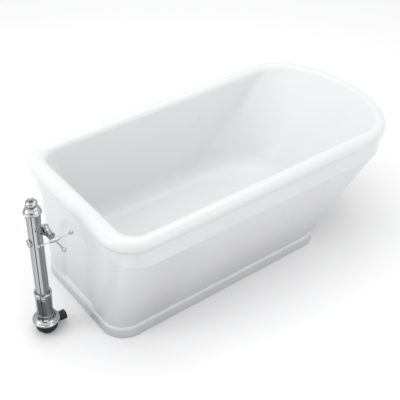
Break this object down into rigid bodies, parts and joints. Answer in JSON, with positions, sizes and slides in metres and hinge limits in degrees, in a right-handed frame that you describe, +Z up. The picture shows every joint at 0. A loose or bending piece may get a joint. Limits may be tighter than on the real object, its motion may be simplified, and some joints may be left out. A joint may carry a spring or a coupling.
{
  "type": "freestanding bathtub",
  "caption": "Freestanding single-ended bath with a rolled rim, a sloping head end, a plinth and a separate floor-standing chrome waste standpipe with a lifting plunger and a side valve.",
  "frame": {"origin": "middle of the whole object's footprint (bath and standpipe), on the floor", "axes": "+X along the bath's length from the drain end to the sloped head end, +Y to the long side away from the side valve's handle, +Z up"},
  "size_m": [1.838, 0.826, 0.72],
  "materials": {
    "bath_white": "high gloss white",
    "porcelain_white": "glazed",
    "chrome": "mirror polished",
    "black_plastic": "satin moulded",
    "rubber": "matte",
    "brass": "machined",
    "zinc_steel": "zinc plated",
    "white_pipe": "satin moulded",
    "board": "raw particle board"
  },
  "bodies": {
    "root": {"basin": "bath_white", "skirt": "bath_white", "drain_flange": "chrome", "drain_strainer": "chrome", "flange_collar": "chrome", "lower_sleeve": "chrome", "sleeve_nut": "chrome", "main_tube": "chrome", "dome_cap": "chrome", "guide_ball": "chrome", "blanking_plug": "chrome", "valve_body": "chrome", "valve_gland_nut": "chrome", "base_tee": "black_plastic", "drain_gasket": "rubber", "port_seal": "rubber", "sleeve_seal": "rubber", "drain_backnut": "brass", "cross_rail_drain": "zinc_steel", "cross_rail_head": "zinc_steel", "levelling_foot_drain_near": "zinc_steel", "levelling_foot_drain_far": "zinc_steel", "levelling_foot_head_near": "zinc_steel", "levelling_foot_head_far": "zinc_steel", "foot_locknut_drain_near": "zinc_steel", "foot_locknut_drain_far": "zinc_steel", "foot_locknut_head_near": "zinc_steel", "foot_locknut_head_far": "zinc_steel", "drain_elbow": "white_pipe", "drain_tailpiece": "white_pipe", "drain_coupling": "white_pipe", "base_board": "board"},
    "waste_plunger": {"overflow_tube": "brass", "overflow_bridge": "brass", "plunger_plug": "brass", "plunger_seal": "rubber"},
    "lift_knob": {"lift_rod": "chrome", "button_ferrule": "chrome", "porcelain_button": "porcelain_white"},
    "valve_handle": {"valve_spindle": "chrome", "handle_hub": "chrome", "handle_arm_bath_side": "chrome", "handle_arm_outer_side": "chrome", "handle_arm_front": "chrome", "handle_ball_bath_side": "chrome", "handle_ball_outer_side": "chrome", "handle_ball_front": "chrome"}
  },
  "joints": [
    {"name": "plunger_lift", "type": "slide", "parent": "root", "child": "waste_plunger", "axis": [0, 0, 1], "range_m": [0, 0.045]},
    {"name": "knob_twist", "type": "hinge", "parent": "waste_plunger", "child": "lift_knob", "pos_m": [-0.861, -0.058, 0.7], "axis": [0, 0, 1], "range_deg": [0, 90]},
    {"name": "valve_turn", "type": "hinge", "parent": "root", "child": "valve_handle", "pos_m": [-0.816, -0.131, 0.52], "axis": [0, -1, 0], "range_deg": [0, 90]}
  ]
}
